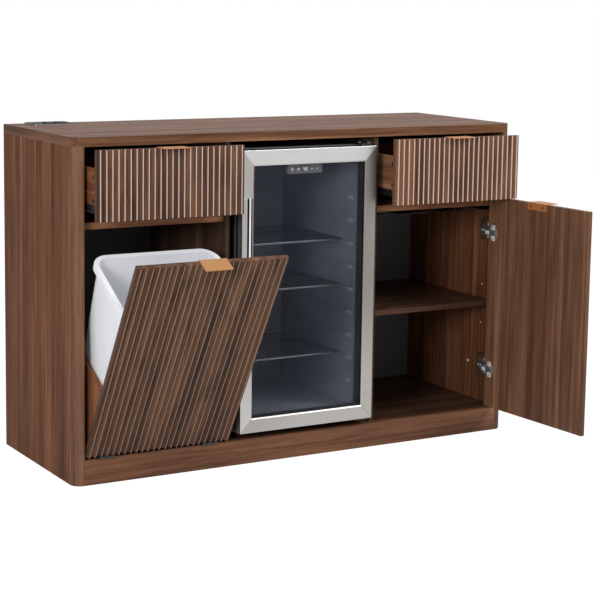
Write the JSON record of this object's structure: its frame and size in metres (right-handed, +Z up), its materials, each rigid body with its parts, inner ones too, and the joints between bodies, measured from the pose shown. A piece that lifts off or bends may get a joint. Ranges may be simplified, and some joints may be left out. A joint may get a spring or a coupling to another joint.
{
  "type": "coffee bar cabinet",
  "caption": "Walnut coffee bar cabinet with reeded drawers, a tilt-out bin, a side door with stemware rack, and a built-in glass-door drink cooler.",
  "frame": {"origin": "on the floor at the middle of the carcass footprint", "axes": "+X to the right seen from the front, +Y to the back, +Z up"},
  "size_m": [1.41, 0.9068, 0.942],
  "materials": {
    "walnut": "satin",
    "walnut_inside": "satin",
    "black_board": "matt",
    "brass": "brushed",
    "black_metal": "satin",
    "hinge_steel": "polished",
    "stainless": "brushed",
    "dark_plastic": "matt",
    "liner_plastic": "matt",
    "seal_rubber": "matt",
    "door_glass": "clear",
    "white_plastic": "satin"
  },
  "bodies": {
    "cabinet": {"top_panel": "walnut", "left_side_panel": "walnut", "right_side_panel": "walnut", "left_corner_post": "walnut", "right_corner_post": "walnut", "front_plinth": "walnut", "left_divider": "walnut_inside", "right_divider": "walnut_inside", "bottom_panel": "walnut_inside", "base_bearers": "walnut_inside", "back_rail": "walnut_inside", "left_drawer_shelf": "walnut_inside", "right_drawer_shelf": "walnut_inside", "adjustable_shelf": "walnut_inside", "runner_battens": "walnut_inside", "door_hinge_blocks": "walnut_inside", "left_back_panel": "black_board", "right_back_panel": "black_board", "cabinet_runners": "black_metal", "stemware_rack": "black_metal", "tilt_hinge_base_leaves": "black_metal", "fridge_case": "black_metal", "fridge_hinge_brackets": "black_metal", "door_hinge_arms": "hinge_steel", "shelf_pins": "hinge_steel", "fridge_shelves": "hinge_steel", "power_socket_bezel": "stainless", "fridge_control_panel": "dark_plastic", "power_socket_body": "dark_plastic", "fridge_feet": "dark_plastic", "fridge_liner": "liner_plastic"},
    "fridge_door": {"fridge_trim_left": "stainless", "fridge_trim_right": "stainless", "fridge_trim_top": "stainless", "fridge_trim_bottom": "stainless", "fridge_door_core": "dark_plastic", "fridge_door_glass": "door_glass", "fridge_door_gasket": "seal_rubber"},
    "left_drawer": {"left_drawer_front": "walnut", "left_drawer_sides": "walnut_inside", "left_drawer_back": "walnut_inside", "left_drawer_bottom": "walnut_inside", "left_drawer_pull": "brass", "left_drawer_runners": "black_metal"},
    "right_drawer": {"right_drawer_front": "walnut", "right_drawer_sides": "walnut_inside", "right_drawer_back": "walnut_inside", "right_drawer_bottom": "walnut_inside", "right_drawer_pull": "brass", "right_drawer_runners": "black_metal"},
    "tilt_bin": {"tilt_door": "walnut", "tilt_pull": "brass", "tilt_cheeks": "walnut_inside", "tilt_base": "walnut_inside", "tilt_rail": "walnut_inside", "waste_bin": "white_plastic", "tilt_door_hinge_leaves": "black_metal"},
    "side_door": {"right_door": "walnut", "right_door_pull": "brass", "right_door_hinge_cups": "hinge_steel"}
  },
  "joints": [
    {"name": "left_drawer_slide", "type": "slide", "parent": "cabinet", "child": "left_drawer", "axis": [0, -1, 0], "range_m": [-0.077, 0.223]},
    {"name": "right_drawer_slide", "type": "slide", "parent": "cabinet", "child": "right_drawer", "axis": [0, -1, 0], "range_m": [-0.086, 0.214]},
    {"name": "bin_tilt", "type": "hinge", "parent": "cabinet", "child": "tilt_bin", "pos_m": [-0.455, -0.253, 0.0715], "axis": [1, 0, 0], "range_deg": [-30, 0]},
    {"name": "side_door_swing", "type": "hinge", "parent": "cabinet", "child": "side_door", "pos_m": [0.657, -0.24, 0.393], "axis": [0, 0, 1], "range_deg": [-93, 2]},
    {"name": "cooler_door_swing", "type": "hinge", "parent": "cabinet", "child": "fridge_door", "pos_m": [0.204, -0.244, 0.4865], "axis": [0, 0, 1], "range_deg": [0, 90]}
  ]
}
